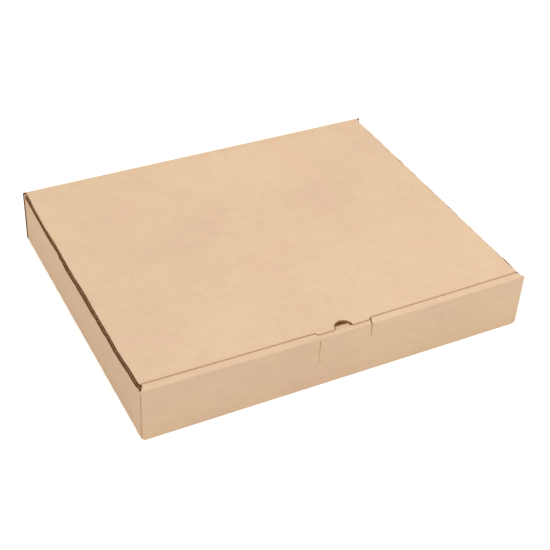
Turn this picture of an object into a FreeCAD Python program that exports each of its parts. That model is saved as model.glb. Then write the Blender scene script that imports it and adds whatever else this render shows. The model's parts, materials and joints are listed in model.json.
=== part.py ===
"""Shallow corrugated-board pizza box, folded from one die-cut sheet.

Frame: origin at the centre of the underside, +X along the front, +Y towards the back
fold that the lid turns on, +Z up.  Millimetres.
"""
import FreeCAD, Part
import os

Vector = FreeCAD.Vector

# Overall size and board
box_width = 400.0
box_depth = 326.0
box_height = 60.0
board = 2.6
fold_radius = 1.4
trim_radius = 9.0

# Running clearances between panels that touch but are not joined
paper_gap = 0.2
lid_side_gap = 0.4
lid_front_gap = 1.0
hinge_gap = 0.3
kerf = 0.8

# Walls
side_wall_drop = 1.8
corner_relief = 3.0

# Roll-over front wall
rollover_end_gap = 1.4
corner_flap_length = 55.0
corner_flap_taper = 9.0
lock_tab_width = 42.0
lock_tab_spacing = 210.0
lock_tab_clearance = 0.5
tab_bottom_clearance = 0.3

# Flexible centre of the front wall, between its two slits
slit_half_spacing = 27.0
slit_depth_left = 29.0
slit_depth_right = 17.0
slit_hook = 4.5
centre_lean = 1.5
centre_drop = 1.6
rollover_slit_flare = 2.4

# Lid
tuck_flap_length = 32.0
tuck_flap_end_gap = 9.0
tuck_flap_lean = 4.0
dust_flap_length = 30.0
dust_flap_lean = 1.5
dust_flap_front_gap = 5.0
dust_flap_rear_gap = 7.0
dust_flap_taper = 12.0
tongue_reach = 2.9
tongue_clearance = 0.5
thumb_notch_radius = 9.2

# Levels and planes that follow from the sizes above
half_width = box_width / 2
front = -box_depth / 2
back = box_depth / 2
lid_underside = box_height - board
rim_height = lid_underside - side_wall_drop
inner_width = half_width - board
flap_bottom = board + paper_gap
corner_flap_front = front + board + paper_gap
inner_panel_front = corner_flap_front + board + paper_gap
inner_panel_back = inner_panel_front + board
rollover_half = half_width - board - rollover_end_gap
rear_flap_back = back - board - paper_gap
hinge_back = back - board / 2
hinge_height = box_height - board / 2
lid_half = inner_width - lid_side_gap
lid_rear = back - board - hinge_gap
lid_front = inner_panel_back + lid_front_gap
tongue_front = lid_front - tongue_reach
centre_top = box_height - centre_drop
overlap = 1.0


def block(x0, x1, y0, y1, z0, z1):
    """Rectangular panel between two corners."""
    return Part.makeBox(x1 - x0, y1 - y0, z1 - z0, Vector(x0, y0, z0))


def panel_from_side(outline, x0, x1):
    """Outline of (y, z) points, swept along X from x0 to x1."""
    points = [Vector(x0, y, z) for y, z in outline]
    face = Part.Face(Part.makePolygon(points + points[:1]))
    return face.extrude(Vector(x1 - x0, 0, 0))


def panel_from_front(outline, y0, y1):
    """Outline of (x, z) points, swept along Y from y0 to y1."""
    points = [Vector(x, y0, z) for x, z in outline]
    face = Part.Face(Part.makePolygon(points + points[:1]))
    return face.extrude(Vector(0, y1 - y0, 0))


def panel_from_top(outline, z0, z1):
    """Outline of (x, y) points, swept along Z from z0 to z1."""
    points = [Vector(x, y, z0) for x, y in outline]
    face = Part.Face(Part.makePolygon(points + points[:1]))
    return face.extrude(Vector(0, 0, z1 - z0))


def rounded(shape, radius, *lines):
    """Round the straight edges that run along the given lines.

    A line is a dictionary of the two coordinates that stay fixed, such as {"y": 0, "z": 5}.
    """
    chosen = []
    for edge in shape.Edges:
        ends = [vertex.Point for vertex in edge.Vertexes]
        for line in lines:
            if all(abs(getattr(end, axis) - value) < 1e-6 for end in ends for axis, value in line.items()):
                chosen.append(edge)
    return shape.makeFillet(radius, chosen)


def mirrored(shape):
    """Copy on the other side of the box."""
    return shape.mirror(Vector(0, 0, 0), Vector(1, 0, 0))


def base_panel():
    """Bottom of the box, with the slots that take the lock tabs."""
    panel = block(-half_width, half_width, front + board, back - board, 0, board)
    panel = rounded(panel, fold_radius, {"x": -half_width, "z": 0}, {"x": half_width, "z": 0})
    for side in (-1, 1):
        middle = side * lock_tab_spacing / 2
        reach = lock_tab_width / 2 + lock_tab_clearance
        slot = block(middle - reach, middle + reach, inner_panel_front - paper_gap,
                     inner_panel_back + paper_gap, -overlap, board + overlap)
        panel = panel.cut(slot)
    return panel


def relieved_outline(height):
    """Outline of a full-width wall with its two bottom corners cut off where the sheet was relieved."""
    return [(-half_width + corner_relief, 0), (half_width - corner_relief, 0), (half_width, corner_relief),
            (half_width, height), (-half_width, height), (-half_width, corner_relief)]


def back_wall():
    """Full-width wall behind, whose raw ends show at the sides, up to the rounded lid fold."""
    wall = panel_from_front(relieved_outline(hinge_height), back - board, back)
    wall = rounded(wall, fold_radius, {"y": back, "z": 0})
    fold_start = Vector(-half_width, hinge_back, hinge_height)
    return wall.fuse(Part.makeCylinder(board / 2, box_width, fold_start, Vector(1, 0, 0)))


def side_wall():
    """Right wall with the flaps at its two ends folded inwards."""
    wall = block(inner_width, half_width, corner_flap_front, rear_flap_back, 0, rim_height)
    flap_end = half_width - corner_flap_length
    outline = [(half_width, flap_bottom), (flap_end, flap_bottom + corner_flap_taper),
               (flap_end, rim_height - corner_flap_taper), (flap_end + corner_flap_taper, rim_height),
               (half_width, rim_height)]
    wall = wall.fuse(panel_from_front(outline, corner_flap_front, corner_flap_front + board))
    wall = wall.fuse(panel_from_front(outline, rear_flap_back - board, rear_flap_back))
    wall = wall.removeSplitter()
    return rounded(wall, fold_radius, {"x": half_width, "y": corner_flap_front},
                   {"x": half_width, "y": rear_flap_back}, {"x": half_width, "z": 0})


def rollover():
    """Outer front wall, the strip on top and the inner wall, as one folded profile."""
    outer = panel_from_front(relieved_outline(lid_underside), front, front + board)
    outer = rounded(outer, fold_radius, {"y": front, "z": 0})
    fold = panel_from_side([(front, lid_underside), (front, box_height), (inner_panel_back, box_height),
                            (inner_panel_back, flap_bottom), (inner_panel_front, flap_bottom),
                            (inner_panel_front, lid_underside)], -half_width, half_width)
    fold = rounded(fold, fold_radius, {"y": front, "z": box_height},
                   {"y": inner_panel_back, "z": box_height})
    tapered = panel_from_top([(-half_width, front), (half_width, front), (rollover_half, inner_panel_front),
                              (rollover_half, inner_panel_back), (-rollover_half, inner_panel_back),
                              (-rollover_half, inner_panel_front)], flap_bottom, box_height)
    return outer.fuse(fold.common(tapered))


def lock_tabs():
    """Tabs on the foot of the inner front wall, through the slots in the base."""
    tabs = []
    for side in (-1, 1):
        middle = side * lock_tab_spacing / 2
        tabs.append(block(middle - lock_tab_width / 2, middle + lock_tab_width / 2, inner_panel_front,
                          inner_panel_back, tab_bottom_clearance, flap_bottom + overlap))
    return tabs


def slit_plan(half_spacing):
    """Outline, from above, of the centre of the front wall out to a distance from its middle."""
    flared = half_spacing + rollover_slit_flare
    return [(-half_spacing, front - overlap), (half_spacing, front - overlap), (half_spacing, front + board),
            (flared, inner_panel_back + overlap), (-flared, inner_panel_back + overlap),
            (-half_spacing, front + board)]


def centre_opening():
    """Room in the front wall for the flexible centre and the slits at its sides."""
    plan = slit_plan(slit_half_spacing + kerf / 2)
    room = panel_from_top(plan, box_height - slit_depth_right, box_height + overlap)
    long_slit = block(-slit_half_spacing - kerf / 2, -slit_half_spacing + kerf / 2, front - overlap,
                      front + board + paper_gap / 2, box_height - slit_depth_left, box_height)
    hook = block(-slit_half_spacing - kerf / 2, -slit_half_spacing + slit_hook, front - overlap,
                 front + board + paper_gap / 2, box_height - slit_depth_left,
                 box_height - slit_depth_left + kerf)
    return room.fuse(long_slit).fuse(hook)


def flexible_centre():
    """Centre of the front wall between the slits, pressed in and down under the lid's tongue."""
    foot = box_height - slit_depth_right
    profile = panel_from_side([(front, foot), (front + centre_lean, centre_top),
                               (inner_panel_back, centre_top), (inner_panel_back, foot),
                               (inner_panel_front, foot), (inner_panel_front, centre_top - board),
                               (front + centre_lean + board, centre_top - board), (front + board, foot)],
                              -half_width, half_width)
    profile = rounded(profile, fold_radius, {"y": front + centre_lean, "z": centre_top},
                      {"y": inner_panel_back, "z": centre_top})
    plan = panel_from_top(slit_plan(slit_half_spacing - kerf / 2), foot, box_height)
    return profile.common(plan)


def tray():
    """Base, walls and roll-over front, joined along the folds of the sheet."""
    walls = side_wall()
    pieces = [back_wall(), walls, mirrored(walls), rollover().cut(centre_opening()), flexible_centre()]
    return base_panel().multiFuse(pieces + lock_tabs()).removeSplitter()


def tongue():
    """Crushed lip on the front of the lid that lies over the flexible centre."""
    front_half = slit_half_spacing - kerf / 2
    root_half = front_half + rollover_slit_flare
    outline = [(-front_half, tongue_front), (front_half, tongue_front), (root_half, lid_front),
               (root_half, lid_front + 2 * overlap), (-root_half, lid_front + 2 * overlap),
               (-root_half, lid_front)]
    return panel_from_top(outline, centre_top + tongue_clearance, box_height)


def tuck_flap():
    """Flap along the lid's front edge, leaning inwards behind the inner front wall."""
    half = lid_half - tuck_flap_end_gap
    flap = block(-half, half, lid_front, lid_front + board, lid_underside - tuck_flap_length, lid_underside)
    flap = rounded(flap, trim_radius, {"x": half, "z": lid_underside - tuck_flap_length},
                   {"x": -half, "z": lid_underside - tuck_flap_length})
    tongue_root = slit_half_spacing + rollover_slit_flare
    flap = flap.cut(block(-tongue_root, tongue_root, lid_front - overlap, lid_front + board + overlap,
                          lid_underside - tongue_reach, lid_underside + overlap))
    flap.rotate(Vector(0, lid_front, lid_underside), Vector(1, 0, 0), tuck_flap_lean)
    return flap


def dust_flap():
    """Flap along the lid's right edge, hanging just inside the side wall."""
    front_end = lid_front + board + dust_flap_front_gap
    rear_end = rear_flap_back - board - dust_flap_rear_gap
    foot = lid_underside - dust_flap_length
    flap = panel_from_side([(front_end, lid_underside), (rear_end, lid_underside),
                            (rear_end - dust_flap_taper, foot), (front_end + dust_flap_taper, foot)],
                           lid_half - board, lid_half)
    flap = rounded(flap, trim_radius, {"y": rear_end - dust_flap_taper, "z": foot},
                   {"y": front_end + dust_flap_taper, "z": foot})
    flap.rotate(Vector(lid_half, 0, lid_underside), Vector(0, 1, 0), dust_flap_lean)
    return flap


def lid():
    """Top panel with its tongue, thumb notch and the three flaps folded under it."""
    panel = block(-lid_half, lid_half, lid_front, lid_rear, lid_underside, box_height)
    panel = rounded(panel, fold_radius, {"x": -lid_half, "z": box_height}, {"x": lid_half, "z": box_height},
                    {"y": lid_front, "z": box_height})
    side_flap = dust_flap()
    sheet = panel.multiFuse([tongue(), tuck_flap(), side_flap, mirrored(side_flap)])
    notch_start = Vector(0, tongue_front, lid_underside - overlap)
    notch = Part.makeCylinder(thumb_notch_radius, 2 * board, notch_start)
    return sheet.cut(notch).removeSplitter()


os.makedirs("parts", exist_ok=True)
for name, shape in {"tray": tray(), "lid": lid()}.items():
    print(name, "solids", len(shape.Solids), "valid", shape.isValid(), "volume", round(shape.Volume))
    shape.exportStep(os.path.join("parts", name + ".step"))
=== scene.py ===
"""The pizza box dressed for its picture: kraft board with open raw edges, soft folds, a creased hinge."""
import json
import math

import bmesh
import bpy
from mathutils import Matrix, Vector, noise
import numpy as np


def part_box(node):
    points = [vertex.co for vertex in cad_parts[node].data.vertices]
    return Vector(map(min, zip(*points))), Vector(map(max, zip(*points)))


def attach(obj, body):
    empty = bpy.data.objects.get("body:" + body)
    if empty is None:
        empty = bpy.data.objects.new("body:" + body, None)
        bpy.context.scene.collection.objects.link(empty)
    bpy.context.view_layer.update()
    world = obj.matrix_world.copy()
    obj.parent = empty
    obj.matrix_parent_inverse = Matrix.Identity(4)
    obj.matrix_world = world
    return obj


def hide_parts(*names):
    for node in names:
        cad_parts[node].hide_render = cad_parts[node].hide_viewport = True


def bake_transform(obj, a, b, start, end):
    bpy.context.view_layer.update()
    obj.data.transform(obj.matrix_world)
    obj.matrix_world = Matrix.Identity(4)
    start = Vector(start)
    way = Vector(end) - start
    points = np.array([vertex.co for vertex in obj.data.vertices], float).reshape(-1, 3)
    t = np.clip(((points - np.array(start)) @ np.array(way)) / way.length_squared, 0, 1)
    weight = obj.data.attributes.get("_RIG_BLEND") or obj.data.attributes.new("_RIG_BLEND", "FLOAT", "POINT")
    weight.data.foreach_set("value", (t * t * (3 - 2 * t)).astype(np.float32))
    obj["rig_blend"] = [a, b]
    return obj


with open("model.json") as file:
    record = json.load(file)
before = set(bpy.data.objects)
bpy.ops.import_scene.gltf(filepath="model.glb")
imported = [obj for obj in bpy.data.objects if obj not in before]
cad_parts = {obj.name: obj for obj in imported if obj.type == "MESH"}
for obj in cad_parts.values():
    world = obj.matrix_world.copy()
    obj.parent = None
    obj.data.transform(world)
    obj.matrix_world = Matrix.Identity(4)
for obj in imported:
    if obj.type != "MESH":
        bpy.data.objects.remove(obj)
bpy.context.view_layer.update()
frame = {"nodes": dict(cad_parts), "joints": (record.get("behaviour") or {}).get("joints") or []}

# Sizes of the board, in metres
MM = 0.001
BOARD = 2.6 * MM
LINER = 0.32 * MM
MEDIUM = 0.2 * MM
FLUTE_PITCH = 6.2 * MM
FLUTE_STEPS = 10
MOUTH_DEPTH = 2.6 * MM
END_DEPTH = 9 * MM
CRUSHED_DEPTH = 0.3 * MM
PAPER = 0.12 * MM
SHEET_GAP = 0.2 * MM

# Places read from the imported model, and the sizes that lead on from them
tray_low, tray_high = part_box("tray")
lid_low, lid_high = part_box("lid")
HALF_WIDTH = tray_high.x
FRONT = tray_low.y
BACK = tray_high.y
TOP = tray_high.z
LID_HALF = lid_high.x
lid_hinge = frame["joints"][0]
HINGE_Y = lid_hinge["pos_m"][1]
HINGE_Z = lid_hinge["pos_m"][2]
RIM = TOP - BOARD - 1.8 * MM
RELIEF = 3 * MM
STRIP_HALF = HALF_WIDTH - BOARD - 1.4 * MM
INNER_FRONT = FRONT + 2 * (BOARD + SHEET_GAP)
NOTCH_Y = lid_low.y
NOTCH_RADIUS = 9.2 * MM
LID_FRONT = NOTCH_Y + 2.9 * MM
SLIT_X = 27 * MM
SLIT_FEET = {-1: 31 * MM, 1: 43 * MM}
KERF = 0.8 * MM
WALL_FRONT = FRONT + BOARD + SHEET_GAP
WALL_BACK = BACK - BOARD - SHEET_GAP
CORNER_FLAP = 56 * MM
FLAP_RIM = 46 * MM
TONGUE_HALF = 30 * MM
DUST_FLAP_FOOT = LID_HALF - 2 * MM
CREASE_FOOT = HINGE_Z - 4 * MM
CREASE_END = HINGE_Y - 5 * MM

# Spacing of the cuts that let the flat panels bend
PANEL_STEP = 16 * MM
DENT_STEP = FLUTE_PITCH / 5

# How far the paper has moved from flat, always inside the model's box
FRONT_BOW = 1.6 * MM
SIDE_BOW = 0.7 * MM
SCALLOP = 0.3 * MM
LUMP = 0.45 * MM
FRAY = 0.9 * MM
RIM_WEAR = 4.6 * MM
RIM_RISE = 2 * MM
CORNER_RISE = 1.4 * MM
END_SPREAD = 1.1 * MM
OVERHANG = 1.9 * MM
RIGHT_OVERHANG = 0.2
UNDERCUT = 0.9 * MM
LID_GAP = 0.45 * MM
LID_UNEVEN = 0.3 * MM

# Colours of the papers, as the photo shows them
OUTER_PAPER = (0.760, 0.545, 0.364)
FLUTE_PAPER = (0.55, 0.285, 0.110)
# Dark brown of torn board, used on the crushed ends and torn rims, and also as painted shade along the lid's
# side folds and in the deep hollows
CRACKED_AND_SHADE_BROWN = (0.34, 0.140, 0.030)

# Wear of the paper and painted shade: 0 is fresh, 1 is torn to its brown core, and above 1, up to 2, is
# painted shade that darkens a deep hollow
CRUSHED_WEAR = 0.45
# The right wall's rim and the back wall's open ends: torn brown darkened by painted shade
RIM_PAINTED_SHADE = 1.4
END_PAINTED_SHADE = 1.85


def smooth(low, high, value):
    """0 at low, 1 at high, and a smooth step between, with low and high in either order."""
    share = min(max((value - low) / (high - low), 0), 1)
    return share * share * (3 - 2 * share)


def board_copy(node):
    """Copy of a node's mesh with its loose triangles merged into flat panels."""
    bm = bmesh.new()
    bm.from_mesh(frame["nodes"][node].data)
    bmesh.ops.remove_doubles(bm, verts=bm.verts, dist=0.001 * MM)
    bmesh.ops.dissolve_limit(bm, angle_limit=math.radians(0.5), verts=bm.verts, edges=bm.edges)
    bm.faces.layers.int.new("raw")
    bm.verts.layers.float.new("wear_and_painted_shade")
    bm.normal_update()
    return bm


def sliced(bm, faces, point, normal):
    """Cut faces along a plane and return all that they became."""
    edges = list({e for f in faces for e in f.edges})
    verts = list({v for f in faces for v in f.verts})
    cut = bmesh.ops.bisect_plane(bm, geom=verts + edges + list(faces), dist=0.0001 * MM,
                                 plane_co=point, plane_no=normal)
    return [part for part in cut["geom"] if isinstance(part, bmesh.types.BMFace)]


def slice_rows(bm, faces, axis, places):
    """Cut faces at each of the rising places along one axis."""
    direction = Vector([float(axis == i) for i in range(3)])
    ahead = list(faces)
    for place in places:
        cut = sliced(bm, ahead, direction * place, direction)
        ahead = [f for f in cut if max(v.co[axis] for v in f.verts) > place + 0.01 * MM]


def evenly(low, high, spacing):
    """Places between low and high, about spacing apart."""
    count = max(round((high - low) / spacing), 1)
    return [low + (high - low) * i / count for i in range(1, count)]


def open_mouths(bm, out, mouths, depth):
    """Push raw board in between its liners. A mouth is its start, direction, length and way across."""
    raw = bm.faces.layers.int["raw"]
    wear_and_painted_shade = bm.verts.layers.float["wear_and_painted_shade"]
    out = Vector(out).normalized()
    level = mouths[0][0].dot(out)
    faces = [f for f in bm.faces
             if f.normal.dot(out) > 0.999 and abs(f.verts[0].co.dot(out) - level) < 0.15 * MM]
    for start, along, length, across in mouths:
        for place, way in ((LINER, across), (BOARD - LINER, across),
                           (LINER, along), (length - LINER, along)):
            faces = sliced(bm, faces, start + way * place, way)

    def is_open(place):
        for start, along, length, across in mouths:
            if LINER < (place - start).dot(across) < BOARD - LINER:
                if LINER < (place - start).dot(along) < length - LINER:
                    return True
        return False

    middle = [f for f in faces if is_open(f.calc_center_median())]
    grown = bmesh.ops.extrude_face_region(bm, geom=middle)["geom"]
    moved = [part for part in grown if isinstance(part, bmesh.types.BMVert)]
    bmesh.ops.translate(bm, verts=moved, vec=out * -depth)
    bmesh.ops.delete(bm, geom=[f for f in middle if f.is_valid], context="FACES_ONLY")
    if depth > CRUSHED_DEPTH:
        for f in {f for v in moved for f in v.link_faces}:
            f[raw] = 1
    else:
        for v in moved:
            v[wear_and_painted_shade] = CRUSHED_WEAR
    bm.normal_update()


def stand_medium(bm, out, mouths, depth):
    """Wavy medium between the liners of an open mouth."""
    raw = bm.faces.layers.int["raw"]
    out = Vector(out).normalized()
    swing = BOARD / 2 - LINER - MEDIUM / 2
    for start, along, length, across in mouths:
        count = max(int((length - 2 * LINER) / FLUTE_PITCH * FLUTE_STEPS), FLUTE_STEPS)
        line = []
        for i in range(count + 1):
            place = LINER + (length - 2 * LINER) * i / count
            height = swing * math.sin(2 * math.pi * place / FLUTE_PITCH)
            height *= 1 + 0.15 * noise.noise(start * 90 + along * place * 260)
            crest = start + along * place + across * (BOARD / 2 + height) - out * 0.2 * MM
            line.append(bm.verts.new(crest))
        edges = [bm.edges.new(pair) for pair in zip(line, line[1:])]
        grown = bmesh.ops.extrude_edge_only(bm, edges=edges)["geom"]
        lower = [part for part in grown if isinstance(part, bmesh.types.BMVert)]
        bmesh.ops.translate(bm, verts=lower, vec=out * -(depth - 0.3 * MM))
        sheet = [part for part in grown if isinstance(part, bmesh.types.BMFace)]
        for f in sheet:
            f[raw] = 1
        bmesh.ops.recalc_face_normals(bm, faces=sheet)
        bmesh.ops.solidify(bm, geom=sheet, thickness=MEDIUM)


def front_bow(place):
    """Set the front back, but for the middle of its top, which stands proud as on the real box."""
    behind = smooth(FRONT + 70 * MM, FRONT + 12 * MM, place.y)
    proud = (1 - (place.x / HALF_WIDTH) ** 2) * smooth(0, TOP, place.z)
    return Vector((0, FRONT_BOW * behind * (1 - proud), 0))


def side_bow(place):
    """Set the side walls in at foot and ends, and let their tops wander. The back wall's ends stay."""
    if place.y > WALL_BACK + 0.1 * MM and place.z > RELIEF - 0.1 * MM:
        return Vector()
    near = smooth(HALF_WIDTH - 14 * MM, HALF_WIDTH - 3 * MM, abs(place.x))
    height = smooth(0, RIM, place.z)
    along = 1 - abs(place.y / BACK) ** 4
    wander = 0.5 + 0.5 * noise.noise(Vector((place.x * 9, place.y * 16, 3)))
    slack = SIDE_BOW * (1 - along * height * (1 - 0.6 * wander))
    return Vector((-math.copysign(slack * near, place.x), 0, 0))


def crushed(place, edge_x, edge_z, reach):
    """Dents of a fold that crosses the flutes, along the edge (edge_x, edge_z) of either side."""
    near = max(0, 1 - math.hypot(abs(place.x) - edge_x, place.z - edge_z) / reach)
    if near == 0:
        return Vector()
    side = math.copysign(1, place.x)
    wave = 0.5 - 0.5 * math.cos(2 * math.pi * place.y / FLUTE_PITCH)
    uneven = 0.6 + 0.8 * noise.noise(Vector((side * 3, place.y * 60, edge_z * 40)))
    lump = LUMP * (0.5 + noise.noise(Vector((side * 7, place.y * 95, edge_z * 90))))
    push = (SCALLOP * wave * uneven + lump) * near
    return Vector((-side * push, 0, math.copysign(0.7 * push, TOP / 2 - edge_z)))


def frayed(place):
    """Outer paper of a side wall's rim, torn down here and there."""
    if place.z < RIM - 0.3 * MM or abs(place.x) < HALF_WIDTH - 1.2 * LINER:
        return Vector()
    if abs(place.y) > WALL_BACK - 3 * MM:
        return Vector()
    side = math.copysign(1, place.x)
    long_wave = 0.5 + 0.6 * noise.noise(Vector((side * 5, place.y * 38, 1)))
    short_wave = 0.5 + 0.7 * noise.noise(Vector((side * 5, place.y * 150, 8)))
    return Vector((0, 0, -FRAY * max(0, 0.65 * long_wave + 0.35 * short_wave)))


def worn_rim(place):
    """The left wall's cut rim, pressed down unevenly by the lid, and the right one's, lifted a little."""
    if abs(place.x) < HALF_WIDTH - BOARD - 0.5 * MM or not WALL_FRONT < place.y < WALL_BACK:
        return Vector()
    if place.z > RIM + 0.1 * MM:
        return Vector()
    side = math.copysign(1, place.x)
    reach = 130 * MM if side < 0 else 20 * MM
    along = smooth(WALL_FRONT, WALL_FRONT + 20 * MM, place.y)
    along *= smooth(WALL_BACK, WALL_BACK - reach, place.y)
    long_wave = noise.noise(Vector((side * 4, place.y * 26, 5)))
    short_wave = noise.noise(Vector((side * 4, place.y * 110, 9)))
    share = along * min(1, max(0, 0.6 + 0.7 * long_wave + 0.35 * short_wave))
    lift = share * (-RIM_WEAR if side < 0 else RIM_RISE)
    lift += CORNER_RISE * smooth(WALL_FRONT + 20 * MM, WALL_FRONT, place.y)
    return Vector((0, 0, lift * smooth(RIM - 16 * MM, RIM - MOUTH_DEPTH, place.z)))


def filled_corner(place):
    """The inner front wall's ends, spread out towards the side walls."""
    if abs(place.x) > STRIP_HALF - 0.5 * MM and INNER_FRONT - 0.1 * MM < place.y < LID_FRONT - 0.2 * MM:
        if place.z < TOP - BOARD - 0.2 * MM and abs(place.x) < STRIP_HALF + 0.2 * MM:
            return Vector((math.copysign(END_SPREAD, place.x), 0, 0))
    return Vector()


def eased_slit(place):
    """The two slits of the front wall, pressed nearly shut towards their feet."""
    side = -1 if place.x < 0 else 1
    foot = SLIT_FEET[side]
    if place.y > FRONT + BOARD + 0.3 * MM or not foot - 0.1 * MM < place.z < TOP - BOARD:
        return Vector()
    shut = 0.3 + 0.35 * smooth(foot + 15 * MM, foot, place.z)
    off = place.x - side * SLIT_X
    if side < 0 and RIM - 3 * MM < place.z < RIM and abs(off) < 0.6 * MM:
        return Vector((off * 0.5, 0, 0))
    if abs(off) < 0.6 * MM:
        return Vector((-off * shut, 0, 0))
    if 0 < off < 6 * MM and abs(place.z - foot - KERF) < 0.2 * MM:
        return Vector((0, 0, -KERF * shut))
    return Vector()


def wall_wear_and_painted_shade(place):
    """Torn brown with painted shade over it in the back wall's open ends and in the right wall's rim, and
    dark brown on the front corner flaps' tops.
    """
    # Painted shade over the torn brown of the back wall's open ends
    if place.z > RELIEF:
        mouth = WALL_BACK + 0.9 * LINER < place.y < BACK - 0.9 * LINER
        if mouth and abs(place.x) > HALF_WIDTH - 1.2 * END_DEPTH:
            return END_PAINTED_SHADE
        if place.y > WALL_BACK + 0.1 * MM and abs(place.x) > HALF_WIDTH - 0.1 * MM:
            return END_PAINTED_SHADE
    if not WALL_FRONT < place.y < WALL_BACK or not RIM - 3 * MM < place.z < RIM + 0.1 * MM:
        return 0
    # Painted shade over the torn brown of the right wall's rim
    if HALF_WIDTH - BOARD < place.x < HALF_WIDTH - 0.1 * MM:
        return RIM_PAINTED_SHADE
    return float(place.z > RIM - 0.4 * MM and place.y < INNER_FRONT - 0.1 * MM)


def bend_tray(bm):
    wear_and_painted_shade = bm.verts.layers.float["wear_and_painted_shade"]
    for v in bm.verts:
        place = v.co.copy()
        # The walls' dark brown: torn board, with painted shade in the hollows of the back wall's ends and
        # the right wall's rim
        v[wear_and_painted_shade] = max(v[wear_and_painted_shade], wall_wear_and_painted_shade(place))
        v.co += front_bow(place) + side_bow(place) + crushed(place, HALF_WIDTH, 0, 4 * MM)
        v.co += frayed(place) + worn_rim(place) + filled_corner(place) + eased_slit(place)


def rolled_edge(place):
    """The lid's side folds, puffed out over the walls' rims, with the dust flaps tucked in below."""
    near = smooth(LID_HALF - 9 * MM, LID_HALF - 1.5 * MM, abs(place.x))
    if near == 0:
        return Vector()
    side = math.copysign(1, place.x)
    along = 0.45 + 0.55 * smooth(FRONT + 10 * MM, FRONT + 70 * MM, place.y)
    along *= smooth(BACK - 4 * MM, BACK - 40 * MM, place.y)
    along *= 0.95 + 0.55 * noise.noise(Vector((side * 6, place.y * 24, 2)))
    if side > 0:
        along *= RIGHT_OVERHANG
    out = min(OVERHANG * along, HALF_WIDTH - LID_HALF - 0.3 * MM)
    out *= smooth(TOP - 1.8 * MM, TOP - 0.4 * MM, place.z)
    tucked = UNDERCUT * smooth(TOP - 1.6 * MM, TOP - 3.2 * MM, place.z)
    return Vector((side * near * (out - tucked), 0, 0))


def front_gap(place):
    """The lid's front fold drawn back a little from the strip, beside its tongue."""
    near = smooth(LID_FRONT + 8 * MM, LID_FRONT + 1 * MM, place.y)
    near *= smooth(TOP - BOARD, TOP - 1 * MM, place.z)
    beside = smooth(TONGUE_HALF - 1 * MM, TONGUE_HALF + 1 * MM, abs(place.x))
    return Vector((0, LID_GAP * near * beside, 0))


def painted_fold_shade(place):
    """Painted shade along the lid's side folds, in the dark brown of cracked paper: how far the outer paper
    is painted towards that brown, for the shade in the gap under the lid's edge.
    """
    if abs(place.x) < LID_HALF - 2.2 * MM:
        return 0
    side = math.copysign(1, place.x)
    upper = TOP - 0.5 * MM + 0.3 * MM * noise.noise(Vector((side * 2, place.y * 90, 4)))
    return smooth(upper, upper - 0.8 * MM, place.z) * smooth(TOP - 8 * MM, TOP - 6 * MM, place.z)


def bend_lid(bm):
    wear_and_painted_shade = bm.verts.layers.float["wear_and_painted_shade"]
    for v in bm.verts:
        place = v.co.copy()
        # Painted shade along the lid's side folds, in the dark brown of cracked paper
        v[wear_and_painted_shade] = painted_fold_shade(place)
        v.co += front_bow(Vector((place.x, place.y, TOP))) + rolled_edge(place) + front_gap(place)
        v.co += crushed(place, LID_HALF, TOP, 3.5 * MM)
        if place.z > TOP - BOARD - 0.1 * MM:
            inner = smooth(LID_HALF, LID_HALF - 30 * MM, abs(place.x))
            inner *= smooth(BACK, BACK - 30 * MM, place.y) * smooth(FRONT, FRONT + 40 * MM, place.y)
            v.co.z -= LID_UNEVEN * inner * (1 + noise.noise(place * 9))


def make_room_for_crease(bm):
    """Draw the fold's core in, so that the crease paper lies flush over it."""
    for v in bm.verts:
        if v.co.y > HINGE_Y and v.co.z > CREASE_FOOT:
            v.co.y -= PAPER
        if v.co.z > HINGE_Z and v.co.y > CREASE_END:
            v.co.z -= PAPER


def lay_out(bm):
    """Map each panel as it lies in the flat sheet: u along the flutes and v across them."""
    sheet = bm.loops.layers.uv.new("sheet")
    bm.normal_update()
    for f in bm.faces:
        middle = f.calc_center_median()
        between = WALL_FRONT < middle.y < WALL_FRONT + BOARD or WALL_BACK - BOARD < middle.y < WALL_BACK
        for loop in f.loops:
            x, y, z = loop.vert.co
            if abs(f.normal.x) > 0.75:
                loop[sheet].uv = (math.copysign(HALF_WIDTH, x) + z, y)
            elif between and abs(middle.x) > HALF_WIDTH - CORNER_FLAP and abs(f.normal.y) > 0.8:
                loop[sheet].uv = (z + 1, x)
            elif abs(f.normal.y) > 0.75:
                loop[sheet].uv = (x, z + math.copysign(BACK, y))
            else:
                loop[sheet].uv = (x, y)


def finish_board(bm, name, materials):
    """Turn the mesh into a piece: smooth round its folds, crisp at its cut edges."""
    lay_out(bm)
    raw = bm.faces.layers.int["raw"]
    for f in bm.faces:
        f.material_index = f[raw]
        f.smooth = True
    for e in bm.edges:
        if len(e.link_faces) == 2 and e.calc_face_angle(0) > math.radians(42):
            e.smooth = False
    mesh = bpy.data.meshes.new(name)
    bm.to_mesh(mesh)
    bm.free()
    for material in materials:
        mesh.materials.append(material)
    piece = bpy.data.objects.new(name, mesh)
    bpy.context.scene.collection.objects.link(piece)
    return piece


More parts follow.
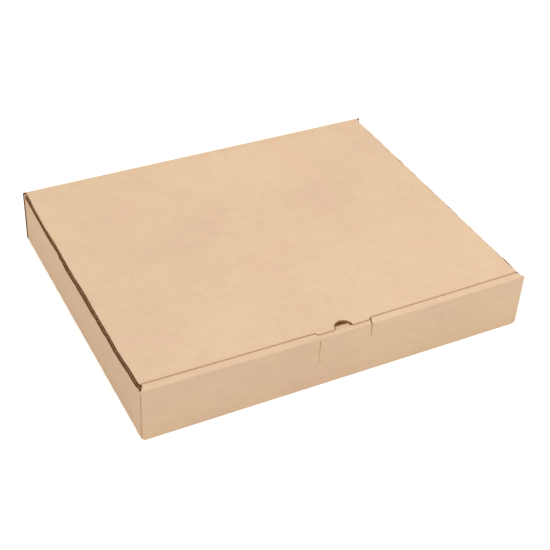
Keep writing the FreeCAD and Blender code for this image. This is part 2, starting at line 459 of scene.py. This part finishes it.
def tray_board(materials):
    """Base and walls, with open flutes at the side walls' rims and at the back wall's ends."""
    bm = board_copy("tray")
    up = Vector((0, 0, 1))
    back = Vector((0, 1, 0))
    for side in (-1, 1):
        out = Vector((side, 0, 0))
        end = side * HALF_WIDTH
        rear = [(Vector((end, BACK - BOARD, RELIEF)), up, HINGE_Z - RELIEF, back)]
        open_mouths(bm, out, rear, END_DEPTH)
        stand_medium(bm, out, rear, END_DEPTH)
        open_mouths(bm, out, [(Vector((end, FRONT, RELIEF)), up, RIM - RELIEF, back)], CRUSHED_DEPTH)
        taper = Vector((side * STRIP_HALF, INNER_FRONT, 0)) - Vector((end, FRONT, 0))
        strip = [(Vector((end, FRONT, TOP - BOARD)), taper.normalized(), taper.length, up)]
        open_mouths(bm, taper.cross(up) * side, strip, CRUSHED_DEPTH)
        inner = [(Vector((side * STRIP_HALF, INNER_FRONT, 4 * MM)), up, TOP - 5 * MM, back)]
        open_mouths(bm, out, inner, CRUSHED_DEPTH)
        rims = [(Vector((end, WALL_FRONT, RIM)), back, WALL_BACK - WALL_FRONT, -out),
                (Vector((end, WALL_BACK, RIM)), -out, FLAP_RIM, -back)]
        open_mouths(bm, up, rims, MOUTH_DEPTH)
        stand_medium(bm, up, rims, MOUTH_DEPTH)
    end = HALF_WIDTH - 0.5 * MM
    slice_rows(bm, bm.faces, 0, [-end] + evenly(-HALF_WIDTH, HALF_WIDTH, PANEL_STEP) + [end])
    slice_rows(bm, bm.faces, 1, evenly(FRONT, BACK, PANEL_STEP))
    slice_rows(bm, bm.faces, 2, [4 * MM, 15 * MM, 30 * MM, 45 * MM, RIM - 2 * MM, RIM - 0.3 * MM])
    edges = [f for f in bm.faces if abs(f.calc_center_median().x) > HALF_WIDTH - BOARD - 1 * MM
             and not 4 * MM < f.calc_center_median().z < RIM - 2 * MM]
    slice_rows(bm, edges, 1, evenly(FRONT, BACK, DENT_STEP))
    make_room_for_crease(bm)
    bend_tray(bm)
    piece = finish_board(bm, "tray_board", materials)
    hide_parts("tray")
    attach(piece, "tray")


def open_notch(bm):
    """Push in the raw board round the thumb notch, between the lid's two papers."""
    raw = bm.faces.layers.int["raw"]
    middle = Vector((0, NOTCH_Y, 0))

    def on_the_cut(f):
        place = f.calc_center_median()
        flat = Vector((place.x, place.y, 0)) - middle
        on_the_arc = abs(flat.length - NOTCH_RADIUS) < 0.5 * MM
        return on_the_arc and abs(f.normal.z) < 0.1 and f.normal.dot(flat) < 0

    faces = [f for f in bm.faces if on_the_cut(f)]
    low = TOP - BOARD + LINER
    high = TOP - LINER
    for level in (low, high):
        faces = sliced(bm, faces, Vector((0, 0, level)), Vector((0, 0, 1)))
    core = [f for f in faces if on_the_cut(f) and low < f.calc_center_median().z < high]
    grown = bmesh.ops.extrude_face_region(bm, geom=core)["geom"]
    moved = [part for part in grown if isinstance(part, bmesh.types.BMVert)]
    for v in moved:
        v.co += Vector((v.co.x, v.co.y - NOTCH_Y, 0)).normalized() * 1.2 * MM
    bmesh.ops.delete(bm, geom=[f for f in core if f.is_valid], context="FACES_ONLY")
    for f in {f for v in moved for f in v.link_faces}:
        f[raw] = 1
    bm.normal_update()


def lid_board(materials):
    """Top panel and its hanging flaps, with open edges at their feet and round the notch."""
    bm = board_copy("lid")
    back = Vector((0, 1, 0))
    open_notch(bm)
    for side in (-1, 1):
        feet = [f for f in bm.faces
                if f.normal.z < -0.99 and abs(f.calc_center_bounds().x - side * DUST_FLAP_FOOT) < 2 * MM]
        foot = max(feet, key=lambda f: f.calc_area())
        out = foot.normal.copy()
        across = out.cross(back) * side
        low = min(v.co.y for v in foot.verts)
        length = max(v.co.y for v in foot.verts) - low
        start = min((v.co for v in foot.verts), key=lambda place: place.dot(across)).copy()
        start.y = low
        mouth = [(start, back, length, across)]
        open_mouths(bm, out, mouth, MOUTH_DEPTH)
        stand_medium(bm, out, mouth, MOUTH_DEPTH)
    slice_rows(bm, bm.faces, 0, evenly(-HALF_WIDTH, HALF_WIDTH, PANEL_STEP))
    slice_rows(bm, bm.faces, 1, evenly(FRONT, BACK, PANEL_STEP) + [CREASE_END - 0.1 * MM, CREASE_END])
    levels = [TOP - depth * MM for depth in (8, 6, 4, 3.2, 2.4, 1.9)]
    slice_rows(bm, bm.faces, 2, levels)
    edge = [f for f in bm.faces if f.calc_center_median().z > TOP - 4 * MM]
    for place in (LID_HALF - 6 * MM, LID_HALF - 4 * MM, LID_HALF - 2.6 * MM):
        for side in (-1, 1):
            edge = sliced(bm, edge, Vector((side * place, 0, 0)), Vector((1, 0, 0)))
    fold = [f for f in bm.faces if abs(f.calc_center_median().x) > LID_HALF - 4 * MM
            and f.calc_center_median().z > TOP - 4 * MM]
    slice_rows(bm, fold, 1, evenly(FRONT, BACK, DENT_STEP))
    make_room_for_crease(bm)
    bend_lid(bm)
    piece = finish_board(bm, "lid_board", materials)
    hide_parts("lid")
    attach(piece, "lid")


def crease(materials):
    """Outer paper of the lid's fold, from the back wall round onto the lid."""
    radius = BACK - HINGE_Y
    flat_steps = 4
    bend_steps = 8
    columns = 24
    wall = (HINGE_Z - CREASE_FOOT) / flat_steps
    panel = (CREASE_END - HINGE_Y) / flat_steps
    path = [(HALF_WIDTH, BACK, CREASE_FOOT + wall * i) for i in range(flat_steps)]
    for i in range(bend_steps + 1):
        turn = math.pi / 2 * i / bend_steps
        half = HALF_WIDTH + (LID_HALF - HALF_WIDTH) * i / bend_steps
        path.append((half, HINGE_Y + radius * math.cos(turn), HINGE_Z + radius * math.sin(turn)))
    path += [(LID_HALF, HINGE_Y + panel * i, TOP) for i in range(1, flat_steps + 1)]
    bm = bmesh.new()
    bm.faces.layers.int.new("raw")
    rows = []
    for half, y, z in path:
        rows.append([bm.verts.new((half * (2 * i / columns - 1), y, z)) for i in range(columns + 1)])
    for lower, upper in zip(rows, rows[1:]):
        for i in range(columns):
            bm.faces.new((lower[i], upper[i], upper[i + 1], lower[i + 1]))
    bmesh.ops.recalc_face_normals(bm, faces=bm.faces)
    bm.normal_update()
    if bm.faces[0].normal.y < 0:
        bmesh.ops.reverse_faces(bm, faces=bm.faces)
    bmesh.ops.solidify(bm, geom=bm.faces, thickness=PAPER * 0.9)
    piece = finish_board(bm, "crease", materials)
    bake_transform(piece, "tray", "lid", (0, BACK, HINGE_Z - 1.2 * MM), (0, HINGE_Y - 1.2 * MM, TOP))


def fold_stub(materials):
    """Crushed root of the tuck flap, seen through the thumb notch: a lip, and a torn slope behind it."""
    bm = bmesh.new()
    raw = bm.faces.layers.int.new("raw")
    left = -6.8 * MM
    width = 14.4 * MM
    lip = LID_FRONT - 0.8 * MM
    slope = lip + 3.3 * MM
    rear = lip + 7 * MM
    foot = TOP - 7 * MM
    profile = [(lip, foot), (lip, TOP - 2.7 * MM), (lip + 0.6 * MM, TOP - 2.2 * MM),
               (lip + 2.6 * MM, TOP - 2.3 * MM), (slope, TOP - 3.1 * MM),
               (rear, TOP - 4.4 * MM), (rear, foot)]
    side = bm.faces.new([bm.verts.new((left, y, z)) for y, z in profile])
    grown = bmesh.ops.extrude_face_region(bm, geom=[side])["geom"]
    moved = [part for part in grown if isinstance(part, bmesh.types.BMVert)]
    bmesh.ops.translate(bm, verts=moved, vec=(width, 0, 0))
    bmesh.ops.recalc_face_normals(bm, faces=bm.faces)
    for f in bm.faces:
        f[raw] = int(f.calc_center_median().y > slope - 0.1 * MM)
    piece = finish_board(bm, "fold_stub", materials)
    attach(piece, "lid")


def new_material(name):
    material = bpy.data.materials.new(name)
    material.use_nodes = True
    nodes = material.node_tree.nodes
    return material, nodes, material.node_tree.links, nodes["Principled BSDF"]


def paper_group():
    """Shade and fine height of kraft paper, from object coordinates and from the sheet's own layout, with
    torn brown and painted shade laid on from a point attribute.
    """
    group = bpy.data.node_groups.new("paper", "ShaderNodeTree")
    group.interface.new_socket("Paper", in_out="INPUT", socket_type="NodeSocketColor")
    group.interface.new_socket("Washboard", in_out="INPUT", socket_type="NodeSocketFloat")
    group.interface.new_socket("Color", in_out="OUTPUT", socket_type="NodeSocketColor")
    group.interface.new_socket("Normal", in_out="OUTPUT", socket_type="NodeSocketVector")
    nodes, links = group.nodes, group.links
    given = nodes.new("NodeGroupInput")
    made = nodes.new("NodeGroupOutput")
    place = nodes.new("ShaderNodeTexCoord").outputs["Object"]
    sheet = nodes.new("ShaderNodeUVMap")
    sheet.uv_map = "sheet"
    fibres = nodes.new("ShaderNodeVectorMath")
    fibres.operation = "MULTIPLY"
    fibres.inputs[1].default_value = (1100, 150, 1)
    links.new(sheet.outputs["UV"], fibres.inputs[0])

    def noise_of(vector, scale, detail):
        texture = nodes.new("ShaderNodeTexNoise")
        texture.inputs["Scale"].default_value = scale
        texture.inputs["Detail"].default_value = detail
        links.new(vector, texture.inputs["Vector"])
        return texture.outputs["Fac"]

    def math_of(operation, *values):
        node = nodes.new("ShaderNodeMath")
        node.operation = operation
        for socket, value in zip(node.inputs, values):
            if isinstance(value, (int, float)):
                socket.default_value = value
            else:
                links.new(value, socket)
        return node.outputs[0]

    across = nodes.new("ShaderNodeSeparateXYZ")
    links.new(sheet.outputs["UV"], across.inputs[0])
    wave = math_of("SINE", math_of("MULTIPLY", across.outputs["Y"], 2 * math.pi / FLUTE_PITCH))
    washboard = math_of("MULTIPLY", wave, given.outputs["Washboard"])
    grain = noise_of(place, 1500, 3)
    layers = [(noise_of(place, 7, 3), 0.16), (noise_of(place, 34, 3), 0.08),
              (noise_of(place, 130, 4), 0.12), (grain, 0.16),
              (noise_of(fibres.outputs[0], 1, 3), 0.10), (washboard, 0.004)]
    shade = 1 - sum(amount for layer, amount in layers[:-1]) / 2
    for layer, amount in layers:
        shade = math_of("MULTIPLY_ADD", layer, amount, shade)
    speck = math_of("LESS_THAN", noise_of(place, 620, 1), 0.235)
    shade = math_of("MULTIPLY_ADD", speck, -0.10, shade)

    tint = nodes.new("ShaderNodeValToRGB")
    tint.color_ramp.elements[0].position = 0.36
    tint.color_ramp.elements[0].color = (1.0, 0.975, 0.985, 1)
    tint.color_ramp.elements[1].position = 0.64
    tint.color_ramp.elements[1].color = (0.995, 1.0, 0.955, 1)
    links.new(noise_of(place, 16, 3), tint.inputs["Fac"])
    tinted = nodes.new("ShaderNodeVectorMath")
    tinted.operation = "MULTIPLY"
    links.new(given.outputs["Paper"], tinted.inputs[0])
    links.new(tint.outputs["Color"], tinted.inputs[1])
    shaded = nodes.new("ShaderNodeVectorMath")
    shaded.operation = "SCALE"
    links.new(tinted.outputs[0], shaded.inputs[0])
    links.new(shade, shaded.inputs["Scale"])
    # The point attribute mixes in the dark brown of torn board, which along the lid's side folds is painted
    # shade
    wear_and_painted_shade = nodes.new("ShaderNodeAttribute")
    wear_and_painted_shade.attribute_name = "wear_and_painted_shade"
    worn_and_shaded = nodes.new("ShaderNodeMix")
    worn_and_shaded.data_type = "RGBA"
    worn_and_shaded.inputs["B"].default_value = (*CRACKED_AND_SHADE_BROWN, 1)
    links.new(wear_and_painted_shade.outputs["Fac"], worn_and_shaded.inputs["Factor"])
    links.new(shaded.outputs[0], worn_and_shaded.inputs["A"])
    # Values above 1 are painted shade: the colour is scaled down towards black, to nothing at 2, to darken
    # deep hollows
    painted_hollow_shade = nodes.new("ShaderNodeVectorMath")
    painted_hollow_shade.operation = "SCALE"
    links.new(worn_and_shaded.outputs["Result"], painted_hollow_shade.inputs[0])
    links.new(math_of("SUBTRACT", 2, math_of("MAXIMUM", wear_and_painted_shade.outputs["Fac"], 1)), painted_hollow_shade.inputs["Scale"])
    links.new(painted_hollow_shade.outputs[0], made.inputs["Color"])

    bump = nodes.new("ShaderNodeBump")
    bump.inputs["Strength"].default_value = 1
    bump.inputs["Distance"].default_value = 0.02 * MM
    links.new(math_of("MULTIPLY_ADD", grain, 0.8, washboard), bump.inputs["Height"])
    links.new(bump.outputs["Normal"], made.inputs["Normal"])
    return group


def paper_material(name, color, washboard, roughness, group):
    material, nodes, links, shader = new_material(name)
    paper = nodes.new("ShaderNodeGroup")
    paper.node_tree = group
    paper.inputs["Paper"].default_value = (*color, 1)
    paper.inputs["Washboard"].default_value = washboard
    shader.inputs["Roughness"].default_value = roughness
    shader.inputs["Specular IOR Level"].default_value = 0.12
    links.new(paper.outputs["Color"], shader.inputs["Base Color"])
    links.new(paper.outputs["Normal"], shader.inputs["Normal"])
    return material


def light_the_scene():
    """An even white room with one broad lamp. Past the floor's edge the camera sees a plain light grey."""
    world = bpy.data.worlds.new("studio")
    bpy.context.scene.world = world
    world.use_nodes = True
    nodes, links = world.node_tree.nodes, world.node_tree.links
    room = nodes["Background"]
    room.inputs["Color"].default_value = (1, 1, 1, 1)
    room.inputs["Strength"].default_value = 0.8
    seen = nodes.new("ShaderNodeBackground")
    seen.inputs["Strength"].default_value = 1
    path = nodes.new("ShaderNodeLightPath")
    choose = nodes.new("ShaderNodeMixShader")
    links.new(path.outputs["Is Camera Ray"], choose.inputs[0])
    links.new(room.outputs[0], choose.inputs[1])
    links.new(seen.outputs[0], choose.inputs[2])
    links.new(choose.outputs[0], nodes["World Output"].inputs["Surface"])
    lamp = bpy.data.lights.new("softbox", "AREA")
    lamp.shape = "RECTANGLE"
    lamp.size = 1.6
    lamp.size_y = 1.2
    lamp.energy = 9
    holder = bpy.data.objects.new("softbox", lamp)
    holder.location = (0.15, -0.4, 1.7)
    holder.rotation_euler = (Vector((0, 0, 0.05)) - holder.location).to_track_quat("-Z", "Y").to_euler()
    bpy.context.scene.collection.objects.link(holder)


def lay_the_floor():
    bpy.ops.mesh.primitive_plane_add(size=12, location=(0, 0, 0))
    floor = bpy.context.object
    floor.name = "floor"
    material, nodes, links, shader = new_material("white_floor")
    shader.inputs["Base Color"].default_value = (0.9, 0.9, 0.9, 1)
    shader.inputs["Roughness"].default_value = 1.0
    shader.inputs["Emission Color"].default_value = (1, 1, 1, 1)
    path = nodes.new("ShaderNodeLightPath")
    glow = nodes.new("ShaderNodeMath")
    glow.operation = "MULTIPLY"
    glow.inputs[1].default_value = 0.42
    links.new(path.outputs["Is Camera Ray"], glow.inputs[0])
    links.new(glow.outputs[0], shader.inputs["Emission Strength"])
    floor.data.materials.append(material)


def place_the_camera():
    """Camera of the photo, worked out from the box's corners."""
    azimuth, tilt, roll = math.radians(29.040), math.radians(52.199), math.radians(3.524)
    focal_pixels = 1186.6
    frame_pixels = 550
    box_in_view = Vector((-0.2888, -0.3658, -2.5841)) * 2 * HALF_WIDTH
    camera = bpy.data.cameras.new("camera")
    camera.sensor_width = 36
    camera.lens = camera.sensor_width * focal_pixels / frame_pixels
    camera.clip_end = 20
    holder = bpy.data.objects.new("camera", camera)
    turn = Matrix.Rotation(-azimuth, 3, "Z")
    turn = turn @ Matrix.Rotation(tilt, 3, "X") @ Matrix.Rotation(roll, 3, "Z")
    corner = Vector((-HALF_WIDTH, FRONT, 0))
    holder.matrix_world = Matrix.Translation(corner - turn @ box_in_view) @ turn.to_4x4()
    bpy.context.scene.collection.objects.link(holder)
    bpy.context.scene.camera = holder


bpy.context.scene.view_settings.view_transform = "Standard"
place_the_camera()
light_the_scene()
lay_the_floor()
paper = paper_group()
board_materials = [paper_material("kraft_liner", OUTER_PAPER, 1, 0.85, paper),
                   paper_material("kraft_medium", FLUTE_PAPER, 0, 0.95, paper)]
tray_board(board_materials)
lid_board(board_materials)
fold_stub(board_materials)
crease(board_materials)
